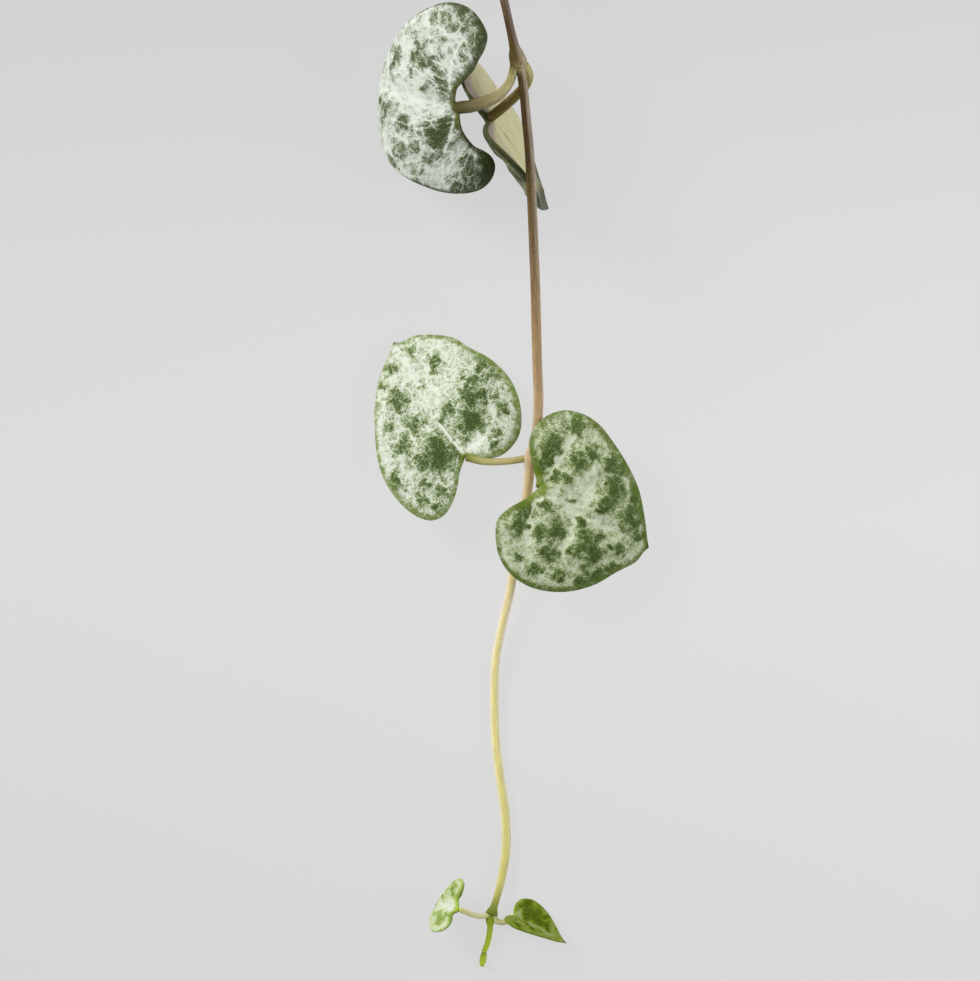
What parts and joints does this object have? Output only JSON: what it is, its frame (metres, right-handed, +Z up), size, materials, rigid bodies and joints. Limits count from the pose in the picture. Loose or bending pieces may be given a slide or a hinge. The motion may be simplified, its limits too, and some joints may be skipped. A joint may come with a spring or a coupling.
{
  "type": "string of hearts cutting",
  "caption": "Trailing vine cutting with a thin stem, paired silver-mottled heart-shaped leaves and a young growing tip, lying on a surface.",
  "frame": {"origin": "middle of the footprint's bounding box, on the surface that the cutting lies on", "axes": "+Y along the stem toward its cut end, +Z up from the surface, +X to the right of the stem"},
  "size_m": [0.0322, 0.12, 0.0191],
  "materials": {
    "leaf": "satin, silver mottling on dark green",
    "young_leaf": "satin, silver mottling on light green",
    "petiole": "satin",
    "stem": "matt",
    "shoot": "satin"
  },
  "bodies": {
    "root": {"stem": "stem", "leaf_upper_left": "leaf", "leaf_upper_right": "leaf", "leaf_middle_left": "leaf", "leaf_middle_right": "leaf", "leaf_tip_left": "young_leaf", "leaf_tip_right": "young_leaf", "petiole_upper_left": "petiole", "petiole_upper_right": "petiole", "petiole_middle_left": "petiole", "petiole_middle_right": "petiole", "petiole_tip_left": "petiole", "petiole_tip_right": "petiole", "shoot": "shoot", "bud": "shoot"}
  },
  "joints": []
}
